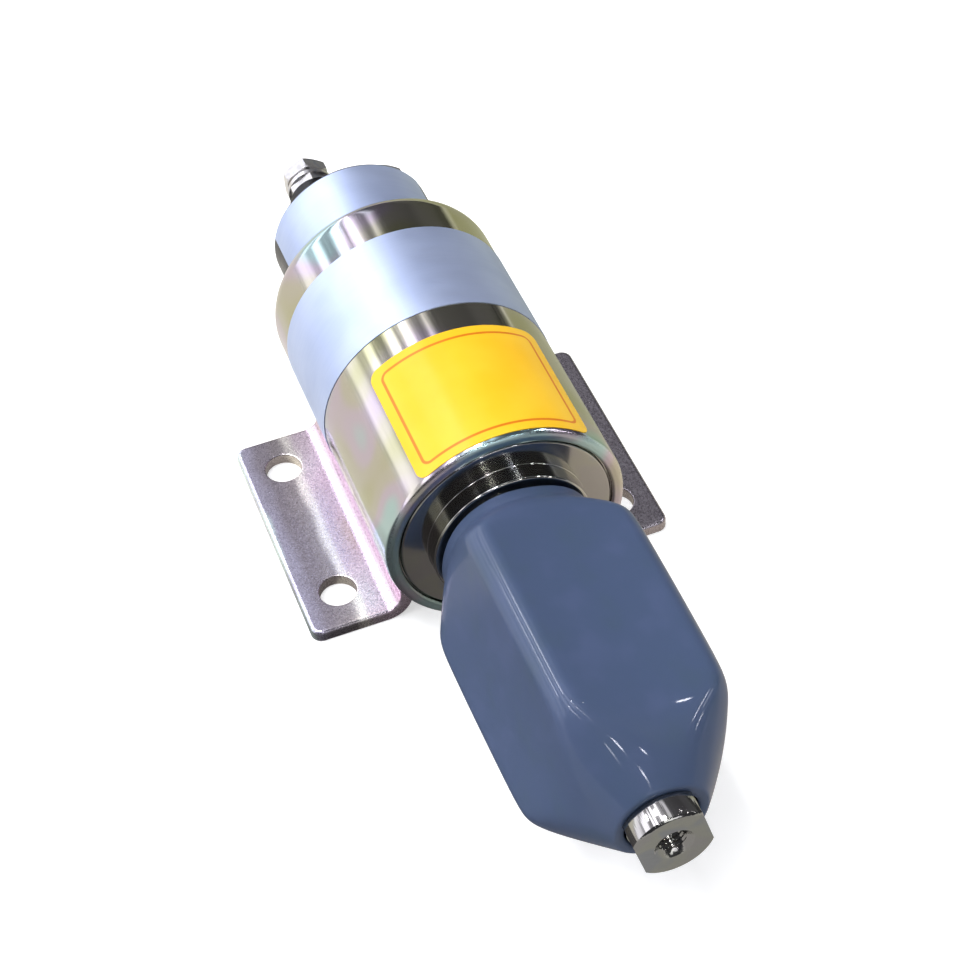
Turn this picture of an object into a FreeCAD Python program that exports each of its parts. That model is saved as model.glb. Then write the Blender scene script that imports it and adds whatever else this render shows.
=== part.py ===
import FreeCAD, Part
import math
import os

os.makedirs("parts", exist_ok=True)

# Pull type fuel shutoff solenoid: a steel can on a pressed saddle bracket, a screw terminal cap
# behind it, and a sliding plunger under a square rubber boot in front of it.
# Millimetres. The origin is the centre of the four mounting holes, on the mounting plane.
# +X follows the can's axis towards the plunger's free end, and +Z points away from the mounting plane.

# Fits and gaps
seat_gap = 0.05  # between still round parts that sit in each other
slide_gap = 0.08  # radial running gap of a sliding round part
film_gap = 0.02  # glue line under a label
soft_gap = 0.3  # between rubber and the metal it fits over
end_gap = 0.1  # axial gap between stacked inner parts

# Mounting bracket. The hole share sets the hole centres out along the feet's flats, 63.5 mm apart
sheet = 2.6
saddle_clearance = 1.95
bracket_length = 57.4
bracket_width = 80.6
hole_end_margin = 9.65
hole_foot_share = 0.4806
hole_radius = 4.0
hole_rim_round = 0.3
foot_corner_radius = 2.4
foot_edge_round = 0.9
foot_bend_radius = 3.0
fold_radius = 0.6
saddle_half_angle = 38.0

# Can
can_radius = 25.4
can_wall = 1.6
can_length = 78.2
can_rear_x = -39.0
can_shoulder_radius = 5.4
lip_thickness = 1.5
lip_width = 2.7
lip_round = 1.1

# Front plate with its hub and boot snout
plate_thickness = 6.9
plate_drop = 0.35
plate_groove = 0.35
plate_chamfer = 0.45
hub_radius = 16.8
hub_height = 3.9
hub_chamfer = 0.4
snout_neck_radius = 12.4
snout_neck_length = 2.6
snout_bead_radius = 13.5
snout_bead_length = 2.2
snout_bead_round = 0.5

# Plunger
stroke = 25.4
stop_gap = 0.3
plunger_radius = 8.4
plunger_cone_length = 6.0
plunger_tip_radius = 4.8
plunger_head_length = 5.3
boot_groove_radius = 7.0
boot_groove_length = 3.4
flats_across = 13.6
flats_turn = 15.0
head_chamfer = 0.5
link_hole_radius = 2.75
link_hole_depth = 14.0
link_countersink_radius = 3.95
link_countersink_depth = 1.0
ring_groove_depth = 0.8

# Guide tube, pole piece and coils
tube_wall = 0.7
pole_flange_thickness = 6.0
pole_stub_length = 22.0
bobbin_wall = 1.2
bobbin_flange_thickness = 1.8
bobbin_flange_gap = 1.2
coil_recess = 0.4
hold_in_share = 0.55
wrap_thickness = 0.4

# Terminal cap and its three studs
cap_shoulder_margin = 1.6
cap_wall = 2.2
cap_end_thickness = 3.0
cap_reach = 18.9
cap_flange_lap = 1.3
cap_flange_thickness = 1.6
cap_end_round = 0.8
stud_names = ("aux", "neg", "pos")
stud_first_angle = 126.0
boss_margin = 1.2
stud_radius = 2.41
stud_head_radius = 3.6
stud_head_thickness = 2.0
stud_proud = 2.7
stud_shank_proud = 0.4
stud_point_radius = 2.2
stud_point_chamfer = 0.4
boss_radius = 6.0
boss_height = 3.0
nut_across_flats = 9.5
nut_thickness = 3.2
flat_washer_radius = 5.3
flat_washer_thickness = 1.0
lock_washer_radius = 4.4
lock_washer_thickness = 1.2
lock_washer_split = 0.8
lead_radius = 0.7
lead_gap = 0.2
lead_margin = 0.1

# Switch that cuts the pull-in coil when the plunger is home
rod_radius = 1.6
rod_gap = 0.3
rod_proud = 0.1
rod_tail = 1.0
switch_base_thickness = 3.0
contact_pitch = 16.0
contact_head_radius = 2.8
contact_head_thickness = 1.2
contact_shank_radius = 1.5
contact_stand = 2.0
contact_gap = 0.1
bridge_overhang = 0.2
bridge_width = 7.0
bridge_thickness = 1.2
insulator_radius = 4.2
insulator_flange = 1.0
insulator_wall = 0.8
contact_spring_radius = 3.6
contact_spring_wire = 0.8
contact_spring_turns = 5

# Boot
boot_start_gap = 1.0
boot_length = 70.5
boot_wall = 1.6
boot_turn = -14.0
boot_collar_radius = 16.4
boot_collar_length = 2.9
boot_bead_length = 1.3
boot_crest_radius = 23.6
boot_face_radius = 17.2
boot_ridge_radius = 4.0
boot_taper = 0.4
boot_shoulder_slope = 1.15
boot_face_end_radius = 12.5
boot_face_slope = 0.4
boot_softness = 2.2
boot_root_softness = 0.8
boot_nose_length = 18.0
boot_nose_radius = 9.5
boot_nose_slope = 0.88
boot_neck_wall = 3.2
boot_stations = 30
boot_outline_points = 64

# Return spring and its seat
spring_radius = 11.0
spring_wire = 1.8
spring_turns = 8
spring_seat_radius = 12.2
spring_seat_thickness = 1.2
retaining_ring_thickness = 1.2
retaining_ring_width = 1.6

# Labels
label_thickness = 0.12
can_label_start = 13.7
can_label_length = 25.2
can_label_from = -25.0
can_label_to = 205.0
label_space = 7.3
yellow_label_back = 1.2
yellow_label_from = 43.5
yellow_label_to = 131.0
yellow_label_corner = 2.4
terminal_label_back = 0.1
terminal_label_length = 17.1
terminal_label_from = 30.0
terminal_label_to = 166.0

# Places along the axis, worked out from the sizes above
axis_height = can_radius + seat_gap + sheet + saddle_clearance
can_front_x = can_rear_x + can_length
can_inner_radius = can_radius - can_wall
can_floor_x = can_rear_x + can_wall
lip_back_x = can_front_x - lip_thickness
plate_face_x = can_front_x - plate_drop
plate_rear_x = plate_face_x - plate_thickness
hub_face_x = plate_face_x + hub_height
snout_neck_end_x = hub_face_x + snout_neck_length
snout_end_x = snout_neck_end_x + snout_bead_length
boot_start_x = hub_face_x + boot_start_gap
boot_end_x = boot_start_x + boot_length
plunger_head_x = boot_end_x + end_gap
plunger_end_x = plunger_head_x + plunger_head_length
pole_rear_x = can_floor_x + cap_flange_thickness
pole_front_x = pole_rear_x + pole_flange_thickness
pole_rim_x = pole_front_x + pole_stub_length
pole_floor_x = pole_rim_x - plunger_cone_length
plunger_rear_x = pole_rim_x + stroke + stop_gap
plunger_tip_x = plunger_rear_x - plunger_cone_length
bobbin_rear_x = pole_front_x + end_gap
bobbin_front_x = plate_rear_x - end_gap
coil_rear_x = bobbin_rear_x + bobbin_flange_thickness + end_gap
coil_front_x = bobbin_front_x - bobbin_flange_thickness - end_gap
cap_end_x = can_rear_x - cap_reach
cap_inner_end_x = cap_end_x + cap_end_thickness
boss_end_x = cap_end_x - boss_height
base_rear_x = pole_rear_x - switch_base_thickness
contact_face_x = base_rear_x - contact_stand - contact_head_thickness
bridge_front_x = contact_face_x - contact_gap
bridge_rear_x = bridge_front_x - bridge_thickness
spring_seat_x = boot_end_x - boot_nose_length - spring_seat_thickness

# Radii that follow from the sizes above
tube_inner_radius = plunger_radius + slide_gap
tube_outer_radius = tube_inner_radius + tube_wall
bobbin_inner_radius = tube_outer_radius + seat_gap
bobbin_outer_radius = bobbin_inner_radius + bobbin_wall
bobbin_flange_radius = can_inner_radius - bobbin_flange_gap
coil_depth = bobbin_flange_radius - coil_recess - wrap_thickness - bobbin_outer_radius
hold_in_radius = bobbin_outer_radius + coil_depth * hold_in_share
pull_in_radius = bobbin_outer_radius + coil_depth
cap_radius = can_radius - can_shoulder_radius - cap_shoulder_margin
cap_inner_radius = cap_radius - cap_wall
switch_base_radius = cap_inner_radius - seat_gap
stud_pitch_radius = cap_radius - boss_radius - boss_margin
lead_pitch_radius = cap_inner_radius - lead_radius - lead_margin

X_AXIS = FreeCAD.Vector(1, 0, 0)
AXIS_POINT = FreeCAD.Vector(0, 0, axis_height)


def place(x, across=0.0, up=0.0):
    """A point given along the can's axis and off it."""
    return FreeCAD.Vector(x, across, axis_height + up)


def polar(radius, degrees):
    """Across and up offsets from the axis, at an angle counted from +Y towards +Z."""
    turn = math.radians(degrees)
    return radius * math.cos(turn), radius * math.sin(turn)


def rod(x0, x1, radius, across=0.0, up=0.0):
    """A round bar along X."""
    return Part.makeCylinder(radius, x1 - x0, place(x0, across, up), X_AXIS)


def ring(x0, x1, outer, inner, across=0.0, up=0.0):
    """A round bar along X with a bore."""
    return rod(x0, x1, outer, across, up).cut(rod(x0, x1, inner, across, up))


def turned(profile):
    """A solid turned about the can's axis from corner points (x, radius)."""
    corners = [place(x, 0.0, radius) for x, radius in profile]
    face = Part.Face(Part.makePolygon(corners + corners[:1]))
    return face.revolve(AXIS_POINT, X_AXIS, 360)


def rims(shape, x, radius):
    """The circular edges about the can's axis at one place and of one radius."""
    return [
        edge
        for edge in shape.Edges
        if isinstance(edge.Curve, Part.Circle)
        and abs(edge.Curve.Radius - radius) < 1e-4
        and abs(edge.Curve.Center.x - x) < 1e-4
    ]


def film(x0, x1, base_radius, from_angle, to_angle):
    """A label of constant thickness wrapped on a cylinder between two angles."""
    inner = base_radius + film_gap
    outer = inner + label_thickness
    corners = [place(x, r) for x, r in ((x0, inner), (x1, inner), (x1, outer), (x0, outer))]
    face = Part.Face(Part.makePolygon(corners + corners[:1]))
    face.rotate(AXIS_POINT, X_AXIS, from_angle)
    return face.revolve(AXIS_POINT, X_AXIS, to_angle - from_angle)


def coil_spring(x0, x1, radius, wire, turns):
    """A round wire helix about the can's axis whose outer coils end at x0 and x1, made of half turns."""
    pitch = (x1 - x0 - wire) / turns
    circle = Part.Circle(FreeCAD.Vector(radius, 0, 0), FreeCAD.Vector(0, 1, 0), wire / 2)
    helix = Part.Wire(Part.makeHelix(pitch, pitch / 2, radius).Edges)
    first = helix.makePipeShell([Part.Wire(circle.toShape())], True, True)
    other = first.rotated(FreeCAD.Vector(), FreeCAD.Vector(0, 0, 1), 180)
    halves = [
        (other if k % 2 else first).translated(FreeCAD.Vector(0, 0, pitch / 2 * k)) for k in range(2 * turns)
    ]
    spring = halves[0].multiFuse(halves[1:])
    spring.rotate(FreeCAD.Vector(), FreeCAD.Vector(0, 1, 0), 90)
    spring.translate(place(x0 + wire / 2))
    return spring


def hex_nut(x0, x1, across, up):
    """A hexagon nut with both faces chamfered, threaded on a terminal stud."""
    corner = nut_across_flats / math.sqrt(3)
    points = [
        place(x0, across + corner * math.cos(turn), up + corner * math.sin(turn))
        for turn in (math.pi / 6 + k * math.pi / 3 for k in range(6))
    ]
    prism = Part.Face(Part.makePolygon(points + points[:1])).extrude(FreeCAD.Vector(x1 - x0, 0, 0))
    barrel = rod(x0, x1, corner, across, up)
    chamfer = corner - nut_across_flats / 2
    barrel = barrel.makeChamfer(chamfer * math.tan(math.radians(30)), chamfer, rims(barrel, x0, corner))
    barrel = barrel.makeChamfer(chamfer, chamfer * math.tan(math.radians(30)), rims(barrel, x1, corner))
    return prism.common(barrel).cut(rod(x0, x1, stud_radius + seat_gap, across, up))


def bracket():
    """One pressed strip: two feet, an upward bend and a fold on each side, and the saddle between them."""
    half_length = bracket_length / 2
    saddle_inner = can_radius + seat_gap
    saddle_outer = saddle_inner + sheet
    lean = math.radians(saddle_half_angle)
    fold_y = (saddle_outer + fold_radius) * math.sin(lean)
    fold_z = axis_height - (saddle_outer + fold_radius) * math.cos(lean)
    wall_y = fold_y + fold_radius + sheet
    bend_y = wall_y + foot_bend_radius
    bend_z = sheet + foot_bend_radius

    def sector(y, z, inner, outer, start, sweep):
        corners = [FreeCAD.Vector(-half_length, y + r, z) for r in (inner, outer)]
        back = FreeCAD.Vector(bracket_length, 0, 0)
        face = Part.Face(
            Part.makePolygon([corners[0], corners[1], corners[1] + back, corners[0] + back, corners[0]])
        )
        face.rotate(FreeCAD.Vector(0, y, z), X_AXIS, start)
        return face.revolve(FreeCAD.Vector(0, y, z), X_AXIS, sweep)

    saddle_start = -90 - saddle_half_angle
    saddle = sector(0, axis_height, saddle_inner, saddle_outer, saddle_start, 2 * saddle_half_angle)
    pieces = []
    for side in (1, -1):
        fold_start = 0 if side > 0 else 90 - saddle_half_angle
        bend_start = 180 if side > 0 else -90
        fold_sweep = 90 + saddle_half_angle
        pieces.append(sector(side * fold_y, fold_z, fold_radius, fold_radius + sheet, fold_start, fold_sweep))
        pieces.append(sector(side * bend_y, bend_z, foot_bend_radius, bend_z, bend_start, 90))
        wall_low = min(side * wall_y, side * (wall_y - sheet))
        wall_corner = FreeCAD.Vector(-half_length, wall_low, bend_z)
        pieces.append(Part.makeBox(bracket_length, sheet, fold_z - bend_z, wall_corner))
        foot_width = bracket_width / 2 - bend_y
        foot_low = min(side * bend_y, side * bracket_width / 2)
        foot = Part.makeBox(bracket_length, foot_width, sheet, FreeCAD.Vector(-half_length, foot_low, 0))
        pieces.append(foot)
    strip = saddle.multiFuse(pieces).removeSplitter()

    corners = [
        edge
        for edge in strip.Edges
        if abs(edge.BoundBox.ZLength - sheet) < 1e-4
        and edge.BoundBox.XLength < 1e-4
        and abs(abs(edge.CenterOfMass.y) - bracket_width / 2) < 1e-4
    ]
    strip = strip.makeFillet(foot_corner_radius, corners)
    top_edges = [
        edge
        for edge in strip.Edges
        if abs(edge.BoundBox.ZMin - sheet) < 1e-4
        and abs(edge.BoundBox.ZMax - sheet) < 1e-4
        and abs(edge.CenterOfMass.y) > bend_y + 1e-4
    ]
    strip = strip.makeFillet(foot_edge_round, top_edges)
    hole_x = half_length - hole_end_margin
    hole_y = bend_y + hole_foot_share * (bracket_width / 2 - bend_y)
    for x in (-hole_x, hole_x):
        for y in (-hole_y, hole_y):
            strip = strip.cut(Part.makeCylinder(hole_radius, sheet, FreeCAD.Vector(x, y, 0)))
    hole_rims = [
        edge
        for edge in strip.Edges
        if isinstance(edge.Curve, Part.Circle)
        and abs(edge.Curve.Radius - hole_radius) < 1e-4
        and abs(edge.Curve.Center.z - sheet) < 1e-4
    ]
    return strip.makeFillet(hole_rim_round, hole_rims)


def can():
    """A drawn cup: rounded rear shoulder, round opening for the terminal cap, rolled front lip."""
    outside = rod(can_rear_x, can_front_x, can_radius)
    outside = outside.makeFillet(can_shoulder_radius, rims(outside, can_rear_x, can_radius))
    outside = outside.makeFillet(lip_round, rims(outside, can_front_x, can_radius))
    inside = rod(can_floor_x, lip_back_x, can_inner_radius)
    inside = inside.makeFillet(can_shoulder_radius - can_wall, rims(inside, can_floor_x, can_inner_radius))
    mouth = rod(lip_back_x, can_front_x, can_radius - lip_width)
    opening = rod(can_rear_x, can_floor_x, cap_radius + seat_gap)
    return outside.cut(inside).cut(mouth).cut(opening)


def front_plate():
    """The turned front flux plate: rim under the lip, raised face, hub, and the snout that holds the boot."""
    rim_radius = can_inner_radius - seat_gap
    land_radius = can_radius - lip_width - plate_groove
    bore = tube_outer_radius + seat_gap
    plate = turned(
        [
            (plate_rear_x, bore),
            (plate_rear_x, rim_radius),
            (lip_back_x, rim_radius),
            (lip_back_x, land_radius),
            (plate_face_x - plate_chamfer, land_radius),
            (plate_face_x, land_radius - plate_chamfer),
            (plate_face_x, hub_radius),
            (hub_face_x - hub_chamfer, hub_radius),
            (hub_face_x, hub_radius - hub_chamfer),
            (hub_face_x, snout_neck_radius),
            (snout_neck_end_x, snout_neck_radius),
            (snout_neck_end_x, snout_bead_radius),
            (snout_end_x, snout_bead_radius),
            (snout_end_x, bore),
        ]
    )
    return plate.makeFillet(snout_bead_round, rims(plate, snout_end_x, snout_bead_radius))


def guide_tube():
    """The thin brass tube that the plunger slides in, from the pole piece to the snout's end."""
    return ring(pole_front_x, snout_end_x, tube_outer_radius, tube_inner_radius)


def three_places(radius):
    """Across and up offsets of the three terminals, or of their leads, at a distance from the axis."""
    step = 360 / len(stud_names)
    return [polar(radius, stud_first_angle + step * k) for k in range(len(stud_names))]


def with_lead_holes(shape, x0, x1):
    """Cuts the holes or notches that the coil leads pass through."""
    for across, up in three_places(lead_pitch_radius):
        shape = shape.cut(rod(x0, x1, lead_radius + lead_gap, across, up))
    return shape


def pole_piece():
    """The turned rear flux plate with its stub, whose conical seat stops the plunger."""
    rim_radius = can_inner_radius - seat_gap
    body = rod(pole_rear_x, pole_front_x, rim_radius)
    body = body.makeFillet(can_shoulder_radius - can_wall, rims(body, pole_rear_x, rim_radius))
    body = body.fuse(rod(pole_front_x, pole_rim_x, tube_inner_radius - seat_gap))
    seat = Part.makeCone(
        plunger_tip_radius, plunger_radius, plunger_cone_length, place(pole_floor_x), X_AXIS
    )
    bore = rod(pole_rear_x, pole_floor_x, rod_radius + slide_gap)
    return with_lead_holes(body.cut(seat).cut(bore).removeSplitter(), pole_rear_x, pole_front_x)


def bobbin():
    """The moulded spool that carries both coils."""
    spool = turned(
        [
            (bobbin_rear_x, bobbin_inner_radius),
            (bobbin_rear_x, bobbin_flange_radius),
            (bobbin_rear_x + bobbin_flange_thickness, bobbin_flange_radius),
            (bobbin_rear_x + bobbin_flange_thickness, bobbin_outer_radius),
            (bobbin_front_x - bobbin_flange_thickness, bobbin_outer_radius),
            (bobbin_front_x - bobbin_flange_thickness, bobbin_flange_radius),
            (bobbin_front_x, bobbin_flange_radius),
            (bobbin_front_x, bobbin_inner_radius),
        ]
    )
    return with_lead_holes(spool, bobbin_rear_x, bobbin_rear_x + bobbin_flange_thickness)


def plunger():
    """The turned bar: conical inner end, ring and boot grooves, head with two flats and a tapped hole."""
    groove_x = plunger_head_x - boot_groove_length
    ring_x = spring_seat_x + spring_seat_thickness
    ring_root = plunger_radius - ring_groove_depth
    bar = turned(
        [
            (plunger_tip_x, 0),
            (plunger_tip_x, plunger_tip_radius),
            (plunger_rear_x, plunger_radius),
            (ring_x, plunger_radius),
            (ring_x, ring_root),
            (ring_x + retaining_ring_thickness + end_gap, ring_root),
            (ring_x + retaining_ring_thickness + end_gap, plunger_radius),
            (groove_x, plunger_radius),
            (groove_x, boot_groove_radius),
            (plunger_head_x, boot_groove_radius),
            (plunger_head_x, plunger_radius),
            (plunger_end_x - head_chamfer, plunger_radius),
            (plunger_end_x, plunger_radius - head_chamfer),
            (plunger_end_x, 0),
        ]
    )
    for side in (-1, 1):
        low = flats_across / 2 if side > 0 else -flats_across / 2 - plunger_radius
        corner = place(plunger_head_x, low, -plunger_radius)
        shaving = Part.makeBox(plunger_head_length, plunger_radius, 2 * plunger_radius, corner)
        shaving.rotate(AXIS_POINT, X_AXIS, flats_turn)
        bar = bar.cut(shaving)
    hole = rod(plunger_end_x - link_hole_depth, plunger_end_x, link_hole_radius)
    countersink = Part.makeCone(
        link_hole_radius,
        link_countersink_radius,
        link_countersink_depth,
        place(plunger_end_x - link_countersink_depth),
        X_AXIS,
    )
    return bar.cut(hole).cut(countersink)


def spring_seat():
    """The washer that the return spring pushes on."""
    return ring(
        spring_seat_x, spring_seat_x + spring_seat_thickness, spring_seat_radius, plunger_radius + seat_gap
    )


def retaining_ring():
    """The open ring in the plunger's groove, behind the spring seat."""
    x0 = spring_seat_x + spring_seat_thickness + end_gap / 2
    inner = plunger_radius - ring_groove_depth + seat_gap
    circle = ring(x0, x0 + retaining_ring_thickness, plunger_radius + retaining_ring_width, inner)
    corner = place(x0, -retaining_ring_width)
    mouth = Part.makeBox(retaining_ring_thickness, 2 * retaining_ring_width, 2 * plunger_radius, corner)
    return circle.cut(mouth)


def ridge_share(angle):
    """Where a direction round the boot lies between the middle of a face (0) and a ridge crest (1).
    The section is four round ridges joined by long hollow face arcs, all tangent.
    A face arc's centre lies outside, straight out from the face's middle."""
    reach = boot_crest_radius - boot_ridge_radius
    side = reach * math.cos(math.pi / 4)
    low = boot_face_radius - boot_ridge_radius
    far = (low**2 - 2 * side**2) / (2 * (low - side))
    span = math.hypot(far - side, side)
    touch = math.atan2(
        side - boot_ridge_radius * side / span, side + boot_ridge_radius * (far - side) / span
    )
    from_face = abs((angle + math.pi / 4) % (math.pi / 2) - math.pi / 4)
    if from_face < touch:
        hollow = far - boot_face_radius
        radius = far * math.cos(from_face) - math.sqrt(hollow**2 - (far * math.sin(from_face)) ** 2)
    else:
        from_ridge = math.pi / 4 - from_face
        radius = reach * math.cos(from_ridge)
        radius += math.sqrt(boot_ridge_radius**2 - (reach * math.sin(from_ridge)) ** 2)
    return (radius - boot_face_radius) / (boot_crest_radius - boot_face_radius)


def soft_low(one, other, softness):
    """The lower of two straight lines, with the corner between them rounded."""
    return (one + other - math.hypot(one - other, softness)) / 2


def boot_profile(x):
    """At one place along the boot: the radii of the ridge crests and of the face middles, and the round
    cut that turns the square body into a collar behind and a conical nose in front."""
    crest = boot_crest_radius - boot_taper * (x - boot_start_x) / boot_length
    face_fall = boot_face_end_radius + boot_face_slope * (boot_end_x - x)
    face = soft_low(boot_face_radius, face_fall, boot_softness)
    rise = boot_collar_radius + boot_shoulder_slope * (x - boot_start_x - boot_collar_length)
    rise = -soft_low(-rise, -boot_collar_radius, boot_root_softness)
    nose = boot_nose_radius + boot_nose_slope * (boot_end_x - x)
    return crest, face, soft_low(rise, nose, boot_softness)


def boot_skin(inset):
    """The boot's outer form moved in by inset: a closed curve at each station, lofted into a solid."""
    outlines = []
    turn = math.radians(boot_turn)
    around = [2 * math.pi * k / boot_outline_points for k in range(boot_outline_points + 1)]
    for k in range(boot_stations + 1):
        x = boot_start_x + boot_length * k / boot_stations
        crest, face, cut = boot_profile(x)
        square = [face + (crest - face) * ridge_share(angle) for angle in around]
        radii = [soft_low(radius, cut, boot_softness) - inset for radius in square]
        points = [
            place(x, radius * math.cos(angle + turn), radius * math.sin(angle + turn))
            for radius, angle in zip(radii, around)
        ]
        curve = Part.BSplineCurve()
        curve.interpolate(Points=points[:-1], PeriodicFlag=True, Parameters=around)
        outlines.append(Part.Wire(curve.toShape()))
    return Part.makeLoft(outlines, True, False)


def boot():
    """The hollow rubber boot, with a bead in the snout's neck and a neck in the plunger's groove."""
    cavity_start = boot_start_x + boot_bead_length
    cavity_end = boot_end_x - boot_neck_wall
    room = rod(cavity_start, cavity_end, boot_crest_radius)
    shell = boot_skin(0.0).cut(boot_skin(boot_wall).common(room))
    shell = shell.cut(rod(boot_start_x, cavity_start, snout_neck_radius + soft_gap))
    return shell.cut(rod(cavity_end, boot_end_x, boot_groove_radius + soft_gap))


def terminal_cap():
    """The moulded cap: a flange held by the can's rear wall, a round wall, and an end with three bosses."""
    body = rod(cap_end_x, pole_rear_x, cap_radius)
    body = body.makeFillet(cap_end_round, rims(body, cap_end_x, cap_radius))
    body = body.fuse(rod(can_floor_x, pole_rear_x, cap_radius + cap_flange_lap))
    for across, up in three_places(stud_pitch_radius):
        body = body.fuse(rod(boss_end_x, cap_end_x, boss_radius, across, up))
    body = body.cut(rod(cap_inner_end_x, pole_rear_x, cap_inner_radius))
    for across, up in three_places(stud_pitch_radius):
        body = body.cut(rod(boss_end_x, cap_inner_end_x, stud_radius + seat_gap, across, up))
    return body.removeSplitter()


def terminal_stack(across, up):
    """One stud with its nuts and washers, from the inside of the cap outwards."""
    base_nut_x = boss_end_x - nut_thickness
    flat_x = base_nut_x - flat_washer_thickness
    lock_x = flat_x - lock_washer_thickness
    nut_x = lock_x - nut_thickness
    end_x = nut_x - stud_proud
    shank_x = nut_x - stud_shank_proud
    stud = rod(shank_x, cap_inner_end_x, stud_radius, across, up)
    point = rod(end_x + stud_point_chamfer, shank_x, stud_point_radius, across, up)
    tip = Part.makeCone(
        stud_point_radius - stud_point_chamfer,
        stud_point_radius,
        stud_point_chamfer,
        place(end_x, across, up),
        X_AXIS,
    )
    head = rod(cap_inner_end_x, cap_inner_end_x + stud_head_thickness, stud_head_radius, across, up)
    lock = ring(lock_x, flat_x, lock_washer_radius, stud_radius + seat_gap, across, up)
    split_corner = place(lock_x, across, up)
    split = Part.makeBox(lock_washer_thickness, lock_washer_split, lock_washer_radius, split_corner)
    flat = ring(flat_x, base_nut_x, flat_washer_radius, stud_radius + seat_gap, across, up)
    return {
        "terminal_stud": stud.multiFuse([head, point, tip]).removeSplitter(),
        "terminal_base_nut": hex_nut(base_nut_x, boss_end_x, across, up),
        "terminal_flat_washer": flat,
        "terminal_lock_washer": lock.cut(split),
        "terminal_nut": hex_nut(nut_x, lock_x, across, up),
    }


def turned_to_switch(shape):
    """Turns a switch part drawn along Z half way between two coil leads."""
    shape.rotate(AXIS_POINT, X_AXIS, stud_first_angle - 360 / len(stud_names))
    return shape


def switch_base():
    """The insulating disc in the cap's mouth, which carries the two fixed contacts."""
    disc = ring(base_rear_x, pole_rear_x, switch_base_radius, rod_radius + rod_gap)
    for up in (-contact_pitch / 2, contact_pitch / 2):
        shank = rod(base_rear_x, pole_rear_x, contact_shank_radius + seat_gap, 0.0, up)
        disc = disc.cut(turned_to_switch(shank))
    return with_lead_holes(disc, base_rear_x, pole_rear_x)


def fixed_contact(up):
    """A riveted contact: a shank through the base, and a flat head facing the bridge."""
    shank = rod(contact_face_x + contact_head_thickness, pole_rear_x - end_gap, contact_shank_radius, 0.0, up)
    head = rod(contact_face_x, contact_face_x + contact_head_thickness, contact_head_radius, 0.0, up)
    return turned_to_switch(shank.fuse(head).removeSplitter())


def moving_contact():
    """The copper bridge that joins the two fixed contacts."""
    half_length = contact_pitch / 2 + contact_head_radius + bridge_overhang
    bridge = Part.makeBox(
        bridge_thickness, bridge_width, 2 * half_length, place(bridge_rear_x, -bridge_width / 2, -half_length)
    )
    bridge = bridge.common(rod(bridge_rear_x, bridge_front_x, half_length))
    hole = rod(bridge_rear_x, bridge_front_x, rod_radius + insulator_wall + seat_gap)
    return turned_to_switch(bridge.cut(hole))


def contact_insulator():
    """The flanged bush between the push rod and the bridge."""
    flange_x = bridge_front_x + insulator_flange
    bore = rod_radius + seat_gap
    bush = turned(
        [
            (bridge_rear_x, bore),
            (bridge_rear_x, rod_radius + insulator_wall),
            (bridge_front_x, rod_radius + insulator_wall),
            (bridge_front_x, insulator_radius),
            (flange_x, insulator_radius),
            (flange_x, bore),
        ]
    )
    return bush


def push_rod():
    """The rod that the plunger pushes at the end of its stroke, with a collar that rests on the bush."""
    collar_x = bridge_front_x + insulator_flange
    bar = rod(bridge_rear_x - rod_tail, pole_floor_x + rod_proud, rod_radius)
    return bar.fuse(rod(collar_x, collar_x + rod_tail, rod_radius + insulator_wall)).removeSplitter()


def contact_spring():
    """The small spring that holds the bridge on the fixed contacts."""
    return coil_spring(
        cap_inner_end_x, bridge_rear_x, contact_spring_radius, contact_spring_wire, contact_spring_turns
    )


def can_label():
    """The silver film round the rear half of the can."""
    x0 = can_rear_x + can_label_start
    return film(x0, x0 + can_label_length, can_radius, can_label_from, can_label_to)


def yellow_label():
    """The yellow film just behind the front lip. Each corner loses a square, less the round that stays."""
    x0 = can_rear_x + can_label_start + can_label_length + label_space
    x1 = can_front_x - yellow_label_back
    patch = film(x0, x1, can_radius, yellow_label_from, yellow_label_to)
    round_off = yellow_label_corner
    square = 2 * round_off
    height = can_radius + 2 * label_thickness
    inset = math.degrees(round_off / can_radius)
    for x, x_low in ((x0 + round_off, x0 + round_off - square), (x1 - round_off, x1 - round_off)):
        for angle, y_low in ((yellow_label_from + inset, 0), (yellow_label_to - inset, -square)):
            corner = Part.makeBox(square, square, height, place(x_low, y_low))
            corner = corner.cut(Part.makeCylinder(round_off, height, place(x)))
            corner.rotate(AXIS_POINT, X_AXIS, angle - 90)
            patch = patch.cut(corner)
    return patch


def terminal_label():
    """The silver film on the terminal cap."""
    x0 = cap_end_x + terminal_label_back + cap_end_round
    return film(x0, x0 + terminal_label_length, cap_radius, terminal_label_from, terminal_label_to)


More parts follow.
